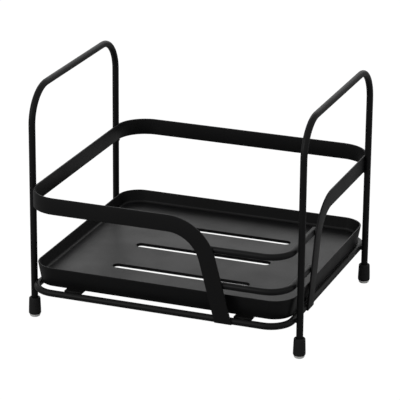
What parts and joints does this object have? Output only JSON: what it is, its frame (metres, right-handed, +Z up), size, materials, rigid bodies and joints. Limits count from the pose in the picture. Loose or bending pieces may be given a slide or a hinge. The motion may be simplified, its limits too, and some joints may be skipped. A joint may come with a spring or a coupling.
{
  "type": "dish drying rack",
  "caption": "Low dish drying rack of bent rod and flat strip, with side hoops, an open front corner and a slide-out slotted drip tray.",
  "frame": {"origin": "on the ground, under the middle of the rack", "axes": "+Z up, -Y towards the front with the band's curved end, +X to the right along the rack's width"},
  "size_m": [0.256, 0.238, 0.21],
  "materials": {
    "frame_steel": "satin black powder coat",
    "tray_steel": "satin black powder coat",
    "foot_rubber": "matt black",
    "foot_pad": "translucent light grey"
  },
  "bodies": {
    "frame": {"left_hoop": "frame_steel", "right_hoop": "frame_steel", "base_ring": "frame_steel", "guard_band": "frame_steel", "lower_corner_wire": "frame_steel", "upper_corner_wire": "frame_steel", "left_cross_bar": "frame_steel", "right_cross_bar": "frame_steel", "foot_cap_front_left": "foot_rubber", "foot_cap_front_right": "foot_rubber", "foot_cap_rear_left": "foot_rubber", "foot_cap_rear_right": "foot_rubber", "foot_pad_front_left": "foot_pad", "foot_pad_front_right": "foot_pad", "foot_pad_rear_left": "foot_pad", "foot_pad_rear_right": "foot_pad", "hoop_welds_left": "frame_steel", "hoop_welds_right": "frame_steel", "front_end_welds": "frame_steel", "lower_wire_welds": "frame_steel", "upper_wire_welds": "frame_steel", "cross_bar_welds": "frame_steel"},
    "tray": {"drip_tray": "tray_steel"}
  },
  "joints": [
    {"name": "tray_slide", "type": "slide", "parent": "frame", "child": "tray", "axis": [0, 1, 0], "range_m": [0, 0.23]}
  ]
}
